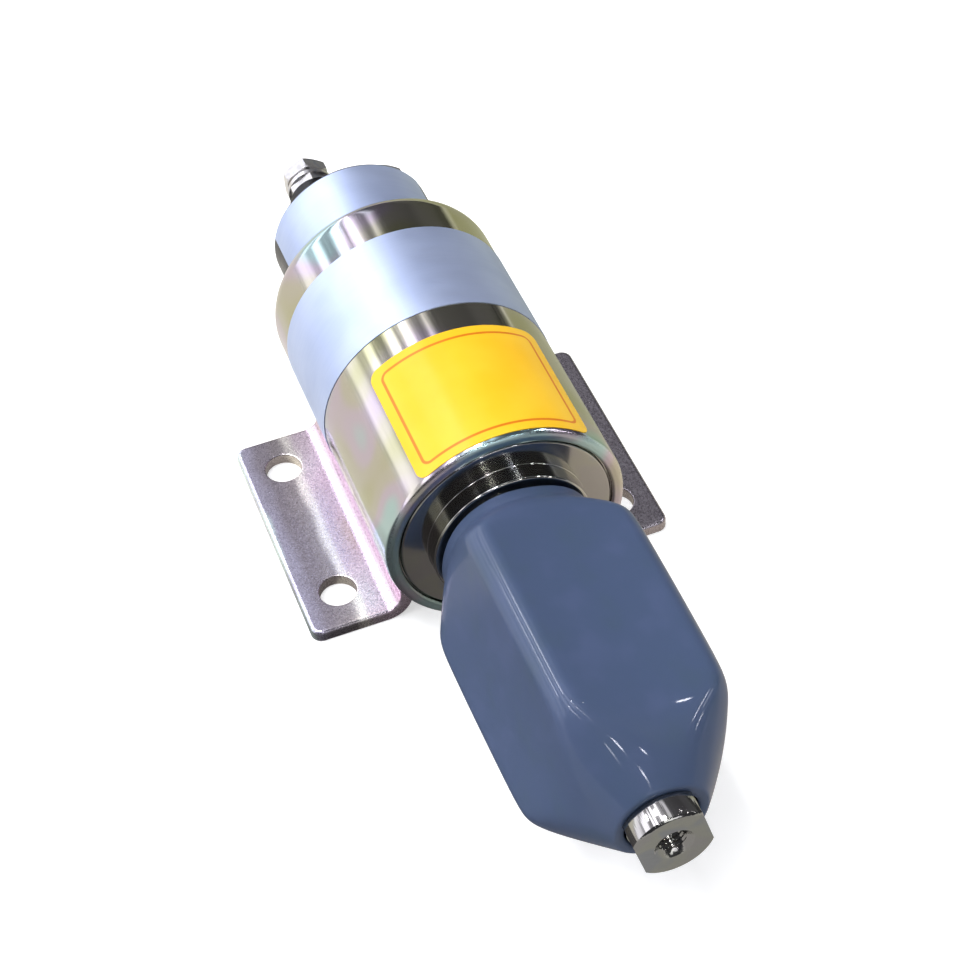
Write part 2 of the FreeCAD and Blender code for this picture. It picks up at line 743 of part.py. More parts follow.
parts = {
    "mounting_bracket": bracket(),
    "can": can(),
    "front_plate": front_plate(),
    "guide_tube": guide_tube(),
    "pole_piece": pole_piece(),
    "coil_bobbin": bobbin(),
    "hold_in_coil": ring(coil_rear_x, coil_front_x, hold_in_radius, bobbin_outer_radius + seat_gap),
    "pull_in_coil": ring(coil_rear_x, coil_front_x, pull_in_radius, hold_in_radius + seat_gap),
    "coil_wrap": ring(
        coil_rear_x, coil_front_x, pull_in_radius + wrap_thickness, pull_in_radius + seat_gap
    ),
    "plunger": plunger(),
    "spring_seat": spring_seat(),
    "retaining_ring": retaining_ring(),
    "return_spring": coil_spring(snout_end_x, spring_seat_x, spring_radius, spring_wire, spring_turns),
    "boot": boot(),
    "terminal_cap": terminal_cap(),
    "switch_base": switch_base(),
    "fixed_contact_upper": fixed_contact(contact_pitch / 2),
    "fixed_contact_lower": fixed_contact(-contact_pitch / 2),
    "moving_contact": moving_contact(),
    "contact_insulator": contact_insulator(),
    "push_rod": push_rod(),
    "contact_spring": contact_spring(),
    "can_label": can_label(),
    "yellow_label": yellow_label(),
    "terminal_label": terminal_label(),
}
for stud_name, (across, up) in zip(stud_names, three_places(stud_pitch_radius)):
    for piece_name, shape in terminal_stack(across, up).items():
        parts[f"{piece_name}_{stud_name}"] = shape
for stud_name, (across, up) in zip(stud_names, three_places(lead_pitch_radius)):
    parts[f"coil_lead_{stud_name}"] = rod(
        cap_inner_end_x + stud_head_thickness, coil_rear_x, lead_radius, across, up
    )

for name, shape in parts.items():
    if not shape.isValid():
        raise ValueError(f"{name} is not a valid solid")
    shape.exportStep(f"parts/{name}.step")
    print(f"{name}: {len(shape.Solids)} solid, {shape.Volume:.0f} mm3")
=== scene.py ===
import bpy
import numpy as np
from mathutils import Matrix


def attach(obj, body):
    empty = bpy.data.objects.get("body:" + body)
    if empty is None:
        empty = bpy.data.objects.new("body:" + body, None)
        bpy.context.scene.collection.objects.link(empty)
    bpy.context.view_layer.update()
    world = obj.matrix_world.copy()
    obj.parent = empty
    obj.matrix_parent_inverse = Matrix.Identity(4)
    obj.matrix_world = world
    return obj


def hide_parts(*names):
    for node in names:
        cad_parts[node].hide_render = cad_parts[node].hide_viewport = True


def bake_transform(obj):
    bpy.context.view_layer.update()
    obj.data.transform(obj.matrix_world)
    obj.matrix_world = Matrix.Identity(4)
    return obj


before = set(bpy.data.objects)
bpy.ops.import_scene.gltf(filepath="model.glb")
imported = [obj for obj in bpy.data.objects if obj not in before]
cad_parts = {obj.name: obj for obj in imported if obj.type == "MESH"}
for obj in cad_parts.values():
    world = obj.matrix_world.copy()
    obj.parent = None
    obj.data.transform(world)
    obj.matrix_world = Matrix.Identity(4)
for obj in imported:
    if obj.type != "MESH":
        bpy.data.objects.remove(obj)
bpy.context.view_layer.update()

mm = 0.001
axis_up = 30.0 * mm

# Mounting bracket: one strip of mild steel sheet, pressed into two feet and the saddle that carries
# the can. Bright zinc plate under a thin passivating film, whose thickness turns the grey of the
# plate pink, violet and green in patches, with fine specks from the grain of the sheet.


def linear(code):
    """A colour written as sRGB hex, as linear red, green, blue and alpha."""
    srgb = np.array([int(code[k : k + 2], 16) for k in (1, 3, 5)]) / 255
    rgb = np.where(srgb <= 0.04045, srgb / 12.92, ((srgb + 0.055) / 1.055) ** 2.4)
    return (*rgb.tolist(), 1.0)


def add(finish, kind, values=None, links=None, **settings):
    """Adds one node to a finish, with its settings, its socket values and its links."""
    tree = finish.node_tree
    node = tree.nodes.new("ShaderNode" + kind)
    for name, setting in settings.items():
        setattr(node, name, setting)
    for socket, value in (values or {}).items():
        node.inputs[socket].default_value = value
    for socket, source in (links or {}).items():
        tree.links.new(source, node.inputs[socket])
    return node


def stops(ramp, *pairs):
    """Sets a colour ramp's stops from pairs of position and hex colour, eased so that no edge shows."""
    band = ramp.color_ramp
    band.interpolation = "EASE"
    while len(band.elements) < len(pairs):
        band.elements.new(1.0)
    for element, (position, code) in zip(band.elements, pairs):
        element.position = position
        element.color = linear(code)
    return ramp.outputs["Color"]


def new_finish(name, **surface):
    """A material with one Principled surface, whose constants go straight on its sockets."""
    finish = bpy.data.materials.new(name)
    finish.use_nodes = True
    shader = finish.node_tree.nodes["Principled BSDF"]
    for socket, value in surface.items():
        shader.inputs[socket.replace("_", " ")].default_value = value
    return finish, shader, add(finish, "TexCoord").outputs["Object"]


def join(finish, source, target):
    """Links one output to one input."""
    finish.node_tree.links.new(source, target)


def grain(finish, vector, size, detail=2.0, roughness=0.5, **values):
    """Noise whose lumps are about size across, in metres."""
    noise = {"Scale": 1 / size, "Detail": detail, "Roughness": roughness, **values}
    return add(finish, "TexNoise", noise, {"Vector": vector}).outputs["Fac"]


def relief(finish, shader, height, depth):
    """Joins a height pattern to the surface's normal; depth is the relief at full height, in metres."""
    bump = add(finish, "Bump", {"Strength": 1.0, "Distance": depth}, {"Height": height})
    join(finish, bump.outputs["Normal"], shader.inputs["Normal"])


def dress(finish, *names):
    """Gives a finish to CAD nodes."""
    for name in names:
        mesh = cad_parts[name].data
        mesh.materials.clear()
        mesh.materials.append(finish)


# Zinc plate on pressed sheet. The film's tint runs in bands along the strip: pale at the left foot's
# outer edge, then lavender grey, a cream streak in its middle, pink towards its bend, grey beyond,
# and a fine grain over all. Each band wanders by a few millimetres.
film_from = -38 * mm
film_to = 42 * mm
film_wander = 6 * mm
sheet_grain = 0.4 * mm
zinc_sheet, surface, spot = new_finish("passivated_zinc_on_sheet", Metallic=0.94, Roughness=0.3)
streaks = add(zinc_sheet, "Mapping", {"Scale": (0.4, 1.0, 1.0)}, {"Vector": spot}).outputs["Vector"]
wander = grain(zinc_sheet, streaks, 7 * mm, detail=3.0)
across = add(zinc_sheet, "SeparateXYZ", links={"Vector": spot}).outputs["Y"]
across = add(
    zinc_sheet, "Math", {1: film_wander}, {0: wander, 2: across}, operation="MULTIPLY_ADD"
).outputs["Value"]
strip_place = add(
    zinc_sheet, "MapRange", {"From Min": film_from, "From Max": film_to}, {"Value": across}
).outputs["Result"]
film_tint = stops(
    add(zinc_sheet, "ValToRGB", links={"Fac": strip_place}),
    (0.00, "#e9fbf6"),
    (0.025, "#b9b4c4"),
    (0.07, "#9b9399"),
    (0.12, "#9f9797"),
    (0.15, "#efe8de"),
    (0.175, "#dccbd2"),
    (0.22, "#e4cfdb"),
    (0.30, "#bfafbb"),
    (0.60, "#a8a1a6"),
)
speck = grain(zinc_sheet, spot, sheet_grain, detail=3.0, roughness=0.7)
speck_dark = stops(
    add(zinc_sheet, "ValToRGB", links={"Fac": speck}), (0.34, "#b3adb4"), (0.56, "#ffffff")
)
zinc_mix = add(
    zinc_sheet,
    "Mix",
    {"Factor": 0.4},
    {"A": film_tint, "B": speck_dark},
    data_type="RGBA",
    blend_type="MULTIPLY",
)
join(zinc_sheet, zinc_mix.outputs["Result"], surface.inputs["Base Color"])
dull = add(
    zinc_sheet,
    "MapRange",
    {"From Min": 0.3, "From Max": 0.7, "To Min": 0.2, "To Max": 0.36},
    {"Value": speck},
)
join(zinc_sheet, dull.outputs["Result"], surface.inputs["Roughness"])
relief(zinc_sheet, surface, speck, 0.006 * mm)
dress(zinc_sheet, "mounting_bracket")

# Can: a deep drawn steel cup with a rounded rear shoulder and a front edge rolled over the front
# plate. The same zinc plate, but bright and smooth, so it mirrors the room as long stripes.
can_radius = 25.4 * mm
can_wall = 1.6 * mm
can_rear = -39.0 * mm
can_front = 39.2 * mm
shoulder = 5.4 * mm
lip_thickness = 1.5 * mm
lip_reach = 2.7 * mm
lip_fillet = 1.4 * mm
lip_inner_fillet = 0.7 * mm
cap_radius = 18.4 * mm
cap_opening = cap_radius + 0.05 * mm
rim_fillet = 0.2 * mm


def rounded(corners, steps=10, shoulder_gap=0.12 * mm):
    """A closed outline from corners (x, radius, fillet). Each corner becomes an arc tangent to both
    sides, by turning the start direction into the end direction about the arc's centre, and each
    side gets a point close to the arc, which keeps the shading of the flats even."""
    points = np.array([c[:2] for c in corners])
    pieces = []
    for k, (_, _, fillet) in enumerate(corners):
        to_last = points[k - 1] - points[k]
        to_next = points[(k + 1) % len(points)] - points[k]
        to_last = to_last / np.linalg.norm(to_last)
        to_next = to_next / np.linalg.norm(to_next)
        half = np.arccos(np.clip(to_last @ to_next, -1, 1)) / 2
        cut = fillet / np.tan(half)
        middle = points[k] + (to_last + to_next) / np.linalg.norm(to_last + to_next) * fillet / np.sin(half)
        start = points[k] + to_last * cut - middle
        end = points[k] + to_next * cut - middle
        sweep = np.pi - 2 * half
        share = np.linspace(0, 1, steps + 1)[:, None]
        arc = middle + (np.sin((1 - share) * sweep) * start + np.sin(share * sweep) * end) / np.sin(sweep)
        pieces += [arc[:1] + to_last * shoulder_gap, arc, arc[-1:] + to_next * shoulder_gap]
    return np.concatenate(pieces)


def skin(name, grid, finish, rows_closed=True, sharp=None):
    """A mesh from a grid of points, closed round its columns. Rows close too, or else each end gets
    a fan to its middle. If the enclosed volume comes out negative, every face is turned round."""
    rows, columns = grid.shape[:2]
    index = np.arange(rows * columns).reshape(rows, columns)
    here = index if rows_closed else index[:-1]
    above = np.roll(index, -1, 0) if rows_closed else index[1:]
    quads = np.stack([here, np.roll(here, -1, 1), np.roll(above, -1, 1), above], -1).reshape(-1, 4)
    points = grid.reshape(-1, 3)
    faces = quads.tolist()
    if not rows_closed:
        ends = np.stack([grid[0].mean(0), grid[-1].mean(0)])
        points = np.concatenate([points, ends])
        first = np.full(columns, rows * columns)
        faces += np.stack([np.roll(index[0], -1), index[0], first], -1).tolist()
        faces += np.stack([index[-1], np.roll(index[-1], -1), first + 1], -1).tolist()
    a, b, c, d = (points[quads[:, k]] - points.mean(0) for k in range(4))
    if np.sum(a * np.cross(b, c)) + np.sum(a * np.cross(c, d)) < 0:
        faces = [face[::-1] for face in faces]
    mesh = bpy.data.meshes.new(name)
    mesh.from_pydata(points.tolist(), [], faces)
    mesh.polygons.foreach_set("use_smooth", np.ones(len(mesh.polygons), bool))
    if sharp:
        mesh.set_sharp_from_angle(angle=np.radians(sharp))
    mesh.materials.append(finish)
    piece = bpy.data.objects.new(name, mesh)
    bpy.context.scene.collection.objects.link(piece)
    return piece


def turned(outline, segments=256):
    """Carries an outline of (x, radius) round the can's axis: y = r cos a, z = axis + r sin a."""
    angle = np.linspace(0, 2 * np.pi, segments, endpoint=False)
    x = np.repeat(outline[:, :1], segments, 1)
    radius = outline[:, 1:]
    return np.stack([x, radius * np.cos(angle), axis_up + radius * np.sin(angle)], -1)


# Zinc plate on drawn steel: a mirror whose cast drifts from olive to lavender and to a green blue
# near the lip, with faint draw marks along the can, and slow waves in the wall that break the edges
# of the reflected stripes. The rolled edge is duller, because rolling scuffs it.
lip_cast_from = 24 * mm
lip_cast_to = 38 * mm
lip_cast = 0.12
edge_dulling = 0.2
mark_share = 0.02
zinc_can, surface, spot = new_finish("bright_zinc_on_drawn_steel", Metallic=1.0, Roughness=0.13)
along = add(zinc_can, "Mapping", {"Scale": (0.04, 1.0, 1.0)}, {"Vector": spot}).outputs["Vector"]
draw_marks = grain(zinc_can, along, 0.5 * mm, detail=3.0, roughness=0.6)
cast = grain(zinc_can, spot, 20 * mm, detail=1.0)
forward = add(zinc_can, "SeparateXYZ", links={"Vector": spot}).outputs["X"]
near_lip = add(
    zinc_can, "MapRange", {"From Min": lip_cast_from, "From Max": lip_cast_to}, {"Value": forward}
).outputs["Result"]
cast = add(
    zinc_can, "Math", {1: lip_cast}, {0: near_lip, 2: cast}, operation="MULTIPLY_ADD"
).outputs["Value"]
can_tint = stops(
    add(zinc_can, "ValToRGB", links={"Fac": cast}),
    (0.34, "#b0ae8a"),
    (0.48, "#b8b3a3"),
    (0.58, "#bdb1bb"),
    (0.68, "#abc3c2"),
)
join(zinc_can, can_tint, surface.inputs["Base Color"])
shine = add(
    zinc_can,
    "MapRange",
    {"From Min": 0.35, "From Max": 0.65, "To Min": 0.10, "To Max": 0.17},
    {"Value": draw_marks},
).outputs["Result"]
rolled_edge = add(
    zinc_can,
    "MapRange",
    {"From Min": can_front - 0.9 * mm, "From Max": can_front - 0.2 * mm},
    {"Value": forward},
).outputs["Result"]
dulled = add(
    zinc_can, "Math", {1: edge_dulling}, {0: rolled_edge, 2: shine}, operation="MULTIPLY_ADD"
)
join(zinc_can, dulled.outputs["Value"], surface.inputs["Roughness"])
long_waves = add(zinc_can, "Mapping", {"Scale": (0.35, 1.0, 1.0)}, {"Vector": spot}).outputs["Vector"]
wave = grain(zinc_can, long_waves, 7 * mm)
waves_and_marks = add(
    zinc_can, "Math", {1: mark_share}, {0: draw_marks, 2: wave}, operation="MULTIPLY_ADD"
).outputs["Value"]
relief(zinc_can, surface, waves_and_marks, 0.05 * mm)

can_outline = rounded(
    [
        (can_rear, cap_opening, rim_fillet),
        (can_rear, can_radius, shoulder),
        (can_front, can_radius, lip_fillet),
        (can_front, can_radius - lip_reach, lip_inner_fillet),
        (can_front - lip_thickness, can_radius - lip_reach, rim_fillet),
        (can_front - lip_thickness, can_radius - can_wall, rim_fillet),
        (can_rear + can_wall, can_radius - can_wall, shoulder - can_wall),
        (can_rear + can_wall, cap_opening, rim_fillet),
    ]
)
can_shell = skin("can_shell", turned(can_outline), zinc_can)
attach(can_shell, "housing")
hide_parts("can")

# Front plate: the turned steel plate under the rolled lip, one piece with its hub and with the
# snout that holds the boot. Bright zinc over fine lathe rings; the pole piece inside has the same.
plate_face = can_front - 0.35 * mm
plate_rear = plate_face - 6.9 * mm
land_radius = can_radius - lip_reach - 0.35 * mm
seat_radius = can_radius - can_wall - 0.05 * mm
hub_radius = 16.8 * mm
hub_face = plate_face + 3.9 * mm
snout_neck = 12.4 * mm
snout_neck_end = hub_face + 2.6 * mm
snout_bead = 13.5 * mm
snout_end = snout_neck_end + 2.2 * mm
guide_bore = 9.23 * mm
lathe_pitch = 0.33 * mm
cutter_mark = 1.1 * mm
cutter_mark_height = 40.0
ring_height = 0.0015 * mm
past_every_piece = 1.0


def turned_zinc(name, head_from):
    """Zinc plate on turned steel: near mirror, with rings a third of a millimetre apart. Past
    head_from the cutter's marks run along the bar instead, and break the stripes it mirrors. A
    head_from past every piece leaves the rings alone."""
    finish, surface, spot = new_finish(name, Metallic=1.0, Roughness=0.12)
    centred = add(finish, "Mapping", {"Location": (0, 0, -axis_up)}, {"Vector": spot}).outputs["Vector"]
    axes = add(finish, "SeparateXYZ", links={"Vector": centred}).outputs
    from_axis = add(finish, "CombineXYZ", links={"Y": axes["Y"], "Z": axes["Z"]}).outputs["Vector"]
    distance = add(finish, "VectorMath", links={0: from_axis}, operation="LENGTH").outputs["Value"]
    ring_place = add(finish, "CombineXYZ", links={"X": axes["X"], "Y": distance}).outputs["Vector"]
    lathe_rings = grain(finish, ring_place, lathe_pitch, detail=1.0)
    long_marks = grain(finish, from_axis, cutter_mark, detail=2.0)
    raised = add(
        finish, "Math", {1: cutter_mark_height}, {0: long_marks}, operation="MULTIPLY"
    ).outputs["Value"]
    on_head = add(
        finish,
        "MapRange",
        {"From Min": head_from, "From Max": head_from + 0.1 * mm},
        {"Value": axes["X"]},
    ).outputs["Result"]
    marks = add(finish, "Mix", links={"Factor": on_head, "A": lathe_rings, "B": raised}).outputs["Result"]
    blotch = grain(finish, spot, 9 * mm)
    tint = stops(
        add(finish, "ValToRGB", links={"Fac": blotch}),
        (0.38, "#a3a09d"),
        (0.52, "#a5a49b"),
        (0.64, "#9b9c9e"),
    )
    join(finish, tint, surface.inputs["Base Color"])
    relief(finish, surface, marks, ring_height)
    return finish


zinc_turned = turned_zinc("bright_zinc_on_turned_steel", past_every_piece)
plate_outline = rounded(
    [
        (plate_rear, guide_bore, 0.1 * mm),
        (plate_rear, seat_radius, 0.3 * mm),
        (can_front - lip_thickness, seat_radius, 0.1 * mm),
        (can_front - lip_thickness, land_radius, 0.1 * mm),
        (plate_face, land_radius, 0.4 * mm),
        (plate_face, hub_radius, 0.15 * mm),
        (hub_face, hub_radius, 0.4 * mm),
        (hub_face, snout_neck, 0.2 * mm),
        (snout_neck_end, snout_neck, 0.2 * mm),
        (snout_neck_end, snout_bead, 0.3 * mm),
        (snout_end, snout_bead, 0.5 * mm),
        (snout_end, guide_bore, 0.2 * mm),
    ]
)
plate_and_hub = skin("plate_and_hub", turned(plate_outline), zinc_turned)
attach(plate_and_hub, "housing")
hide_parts("front_plate")
dress(zinc_turned, "pole_piece")

# Guide tube: thin drawn brass that the plunger slides in, with faint draw lines along it.
tube_brass, surface, spot = new_finish("drawn_brass", Metallic=1.0, Roughness=0.24)
along = add(tube_brass, "Mapping", {"Scale": (0.05, 1.0, 1.0)}, {"Vector": spot}).outputs["Vector"]
tube_lines = grain(tube_brass, along, 0.4 * mm)
tube_tint = stops(
    add(tube_brass, "ValToRGB", links={"Fac": tube_lines}), (0.35, "#c9a258"), (0.65, "#dcb76d")
)
join(tube_brass, tube_tint, surface.inputs["Base Color"])
relief(tube_brass, surface, tube_lines, 0.004 * mm)
dress(tube_brass, "guide_tube", "push_rod")

# Coils: enamelled copper wire wound in layers on a moulded nylon bobbin, with cloth tape round
# the outside. Wound wire shows as fine ribs across the axis, 0.8 mm apart. A band texture of scale 1
# has 3.18 bands to the metre.
wire_gap = 0.8 * mm
bands_per_scale = 3.18
copper_wire, surface, spot = new_finish("enamelled_copper_wire", Metallic=0.9, Roughness=0.28)
wire_ribs = add(
    copper_wire,
    "TexWave",
    {"Scale": 1 / wire_gap / bands_per_scale, "Distortion": 0.4},
    {"Vector": spot},
    bands_direction="X",
).outputs["Fac"]
wire_tint = stops(
    add(copper_wire, "ValToRGB", links={"Fac": wire_ribs}), (0.1, "#5c2414"), (0.8, "#b4603a")
)
join(copper_wire, wire_tint, surface.inputs["Base Color"])
relief(copper_wire, surface, wire_ribs, 0.1 * mm)
dress(copper_wire, "hold_in_coil", "pull_in_coil", "coil_lead_aux", "coil_lead_neg", "coil_lead_pos")

# Nylon bobbin: matt black moulding, lightly mottled by its glass fibre.
nylon, surface, spot = new_finish("glass_filled_nylon", Roughness=0.5)
fibre = grain(nylon, spot, 0.5 * mm, detail=4.0)
nylon_tint = stops(add(nylon, "ValToRGB", links={"Fac": fibre}), (0.35, "#1b1b1d"), (0.7, "#2b2b2e"))
join(nylon, nylon_tint, surface.inputs["Base Color"])
relief(nylon, surface, fibre, 0.02 * mm)
dress(nylon, "coil_bobbin")

# Cloth tape: tan cotton with a plain weave, 0.7 mm between threads.
thread_gap = 0.7 * mm
cloth_tape, surface, spot = new_finish("cotton_coil_tape", Roughness=0.8)
weave = add(
    cloth_tape,
    "TexChecker",
    {"Scale": 1 / thread_gap, "Color1": linear("#b39b62"), "Color2": linear("#cdb987")},
    {"Vector": spot},
)
join(cloth_tape, weave.outputs["Color"], surface.inputs["Base Color"])
relief(cloth_tape, surface, weave.outputs["Fac"], 0.05 * mm)
dress(cloth_tape, "coil_wrap")

# Terminal cap: a compression moulded phenolic cup held behind the can's rear wall. Black, glossy
# from the polished mould, with faint flow marks.
phenolic, surface, spot = new_finish("glossy_black_phenolic", Roughness=0.3, Specular_IOR_Level=0.3)
flow = grain(phenolic, spot, 6 * mm, detail=4.0)
phenolic_tint = stops(add(phenolic, "ValToRGB", links={"Fac": flow}), (0.35, "#0b0b0d"), (0.7, "#18171a"))
join(phenolic, phenolic_tint, surface.inputs["Base Color"])
gloss = add(
    phenolic,
    "MapRange",
    {"From Min": 0.3, "From Max": 0.7, "To Min": 0.24, "To Max": 0.38},
    {"Value": flow},
)
join(phenolic, gloss.outputs["Result"], surface.inputs["Roughness"])
relief(phenolic, surface, flow, 0.03 * mm)
dress(phenolic, "terminal_cap")

# Switch inside the cap: a brown moulded disc with two riveted copper contacts, and the sprung
# copper bridge that the push rod lifts off them.
brown_phenolic, surface, spot = new_finish("brown_phenolic", Roughness=0.45)
filler = grain(brown_phenolic, spot, 0.7 * mm, detail=4.0)
brown_tint = stops(
    add(brown_phenolic, "ValToRGB", links={"Fac": filler}), (0.35, "#3f2415"), (0.7, "#5f3a22")
)
join(brown_phenolic, brown_tint, surface.inputs["Base Color"])
relief(brown_phenolic, surface, filler, 0.02 * mm)
dress(brown_phenolic, "switch_base", "contact_insulator")

# Stamped copper: warm and slightly tarnished in patches.
contact_copper, surface, spot = new_finish("stamped_copper", Metallic=1.0, Roughness=0.3)
tarnish = grain(contact_copper, spot, 2.5 * mm, detail=3.0)
copper_tint = stops(
    add(contact_copper, "ValToRGB", links={"Fac": tarnish}), (0.35, "#a8603f"), (0.65, "#d88c64")
)
join(contact_copper, copper_tint, surface.inputs["Base Color"])
dress(contact_copper, "fixed_contact_upper", "fixed_contact_lower", "moving_contact")

# Contact spring and return spring: oiled spring wire wound as a helix. The contact spring sits
# behind the bridge, the return spring between the snout and the plunger's seat washer.
spring_wire, surface, spot = new_finish("oiled_spring_wire", Metallic=1.0, Roughness=0.3)
oil = grain(spring_wire, spot, 1.2 * mm, detail=3.0)
oil_tint = stops(add(spring_wire, "ValToRGB", links={"Fac": oil}), (0.35, "#6d6c6b"), (0.65, "#8d8c8a"))
join(spring_wire, oil_tint, surface.inputs["Base Color"])
relief(spring_wire, surface, oil, 0.01 * mm)


def helix(start, end, coil_radius, wire, turns, steps=48, sides=12):
    """A round wire carried along a helix: the wire's circle lies in the plane of the direction out
    from the axis and the direction square to both that and the helix."""
    turn = np.linspace(0, 2 * np.pi * turns, turns * steps + 1)[:, None]
    side = np.linspace(0, 2 * np.pi, sides, endpoint=False)
    rise = (end - start - wire) / (2 * np.pi * turns)
    out = np.stack([0 * turn, np.cos(turn), np.sin(turn)], -1)
    ahead = np.stack([rise + 0 * turn, -coil_radius * np.sin(turn), coil_radius * np.cos(turn)], -1)
    ahead /= np.linalg.norm(ahead, axis=-1, keepdims=True)
    across = np.cross(ahead, out)
    centre = np.stack([start + wire / 2 + rise * turn, 0 * turn, axis_up + 0 * turn], -1)
    round_wire = np.cos(side)[None, :, None] * out + np.sin(side)[None, :, None] * across
    return centre + coil_radius * out + wire / 2 * round_wire


cap_floor = -54.9 * mm
bridge_back = -43.3 * mm
switch_coil_radius = 3.6 * mm
switch_wire = 0.8 * mm
switch_turns = 5
switch_spring = skin(
    "switch_spring",
    helix(cap_floor, bridge_back, switch_coil_radius, switch_wire, switch_turns),
    spring_wire,
    rows_closed=False,
)
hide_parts("contact_spring")
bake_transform(switch_spring)

# The return spring ends on the seat washer, well inside the boot, whose length is in millimetres.
boot_start = hub_face + 1.0 * mm
boot_long = 70.5
boot_end = boot_start + boot_long * mm
spring_seat = boot_end - 19.2 * mm
return_coil_radius = 11.0 * mm
return_wire = 1.8 * mm
return_turns = 8
return_spring = skin(
    "return_spring_wire",
    helix(snout_end, spring_seat, return_coil_radius, return_wire, return_turns),
    spring_wire,
    rows_closed=False,
)
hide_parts("return_spring")
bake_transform(return_spring)
dress(spring_wire, "retaining_ring")

# Terminals: three zinc plated steel studs through the cap, each with a base nut, a flat washer, a
# split lock washer and a top nut. The studs carry a rolled thread, 0.79 mm from crest to crest.
zinc_hardware, surface, spot = new_finish("bright_zinc_hardware", Metallic=1.0, Roughness=0.28)
plating = grain(zinc_hardware, spot, 2.5 * mm, detail=3.0)
hardware_tint = stops(
    add(zinc_hardware, "ValToRGB", links={"Fac": plating}),
    (0.35, "#c6c4c2"),
    (0.52, "#d6d4d2"),
    (0.68, "#c4c7cc"),
)
join(zinc_hardware, hardware_tint, surface.inputs["Base Color"])
relief(zinc_hardware, surface, plating, 0.02 * mm)
hardware = ["spring_seat"]
for stud in ("aux", "neg", "pos"):
    hardware += [f"terminal_{part}_{stud}" for part in ("base_nut", "flat_washer", "lock_washer", "nut")]
dress(zinc_hardware, *hardware)

stud_radius = 2.41 * mm
stud_pitch = 0.794 * mm
thread_depth = 0.42 * mm
stud_end = -72.2 * mm
stud_taper = 0.9 * mm
stud_tip_share = 0.72
stud_head_x = cap_floor + 2.0 * mm
stud_head_radius = 3.6 * mm
stud_sides = 48
stud_circle = 11.2 * mm
first_stud_bearing = 126.0


def threaded_stud(across, up):
    """A stud's surface by place along X and angle: radius = root + depth times a triangle wave of
    x / pitch - angle / full turn, tapered at the tip, then the plain head inside the cap."""
    angle = np.linspace(0, 2 * np.pi, stud_sides, endpoint=False)
    x = np.arange(stud_end, cap_floor, stud_pitch / 8)[:, None]
    phase = (x / stud_pitch - angle / (2 * np.pi)) % 1.0
    crest = 1 - 2 * np.abs(phase - 0.5)
    tip = np.clip((x - stud_end) / stud_taper, 0, 1)
    radius = stud_radius - thread_depth + thread_depth * crest
    radius = radius * (stud_tip_share + (1 - stud_tip_share) * tip)
    x = np.repeat(x, stud_sides, 1)
    for head_x, head_radius in (
        (cap_floor, stud_radius),
        (cap_floor, stud_head_radius),
        (stud_head_x, stud_head_radius),
    ):
        x = np.vstack([x, np.full(stud_sides, head_x)])
        radius = np.vstack([radius, np.full(stud_sides, head_radius)])
    return np.stack([x, across + radius * np.cos(angle), axis_up + up + radius * np.sin(angle)], -1)


for number, stud in enumerate(("aux", "neg", "pos")):
    bearing = np.radians(first_stud_bearing + 120.0 * number)
    across, up = stud_circle * np.cos(bearing), stud_circle * np.sin(bearing)
    threaded = skin(
        f"threaded_stud_{stud}",
        threaded_stud(across, up),
        zinc_hardware,
        rows_closed=False,
        sharp=40,
    )
    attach(threaded, "housing")
    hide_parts(f"terminal_stud_{stud}")

# Plunger: one turned steel bar, zinc plated. Its end has two wrench flats and a hole tapped for the
# linkage, 0.9 mm from crest to crest, with a countersink. Lathe rings run round it, and the cutter's
# marks along its head.
plunger_tip = 11.9 * mm
head_start = boot_end + 0.1 * mm
plunger_end = head_start + 5.3 * mm
flat_half = 6.8 * mm
flat_turn = np.radians(15.0)
link_radius = 2.75 * mm
link_pitch = 0.907 * mm
link_thread = 0.38 * mm
link_depth = 14.0 * mm
neck_length = 3.4 * mm
ring_groove_width = 1.3 * mm

# Radii in millimetres, as in the list of stations below.
bar_radius = 8.4
neck_radius = 7.0
ring_groove_radius = 7.6


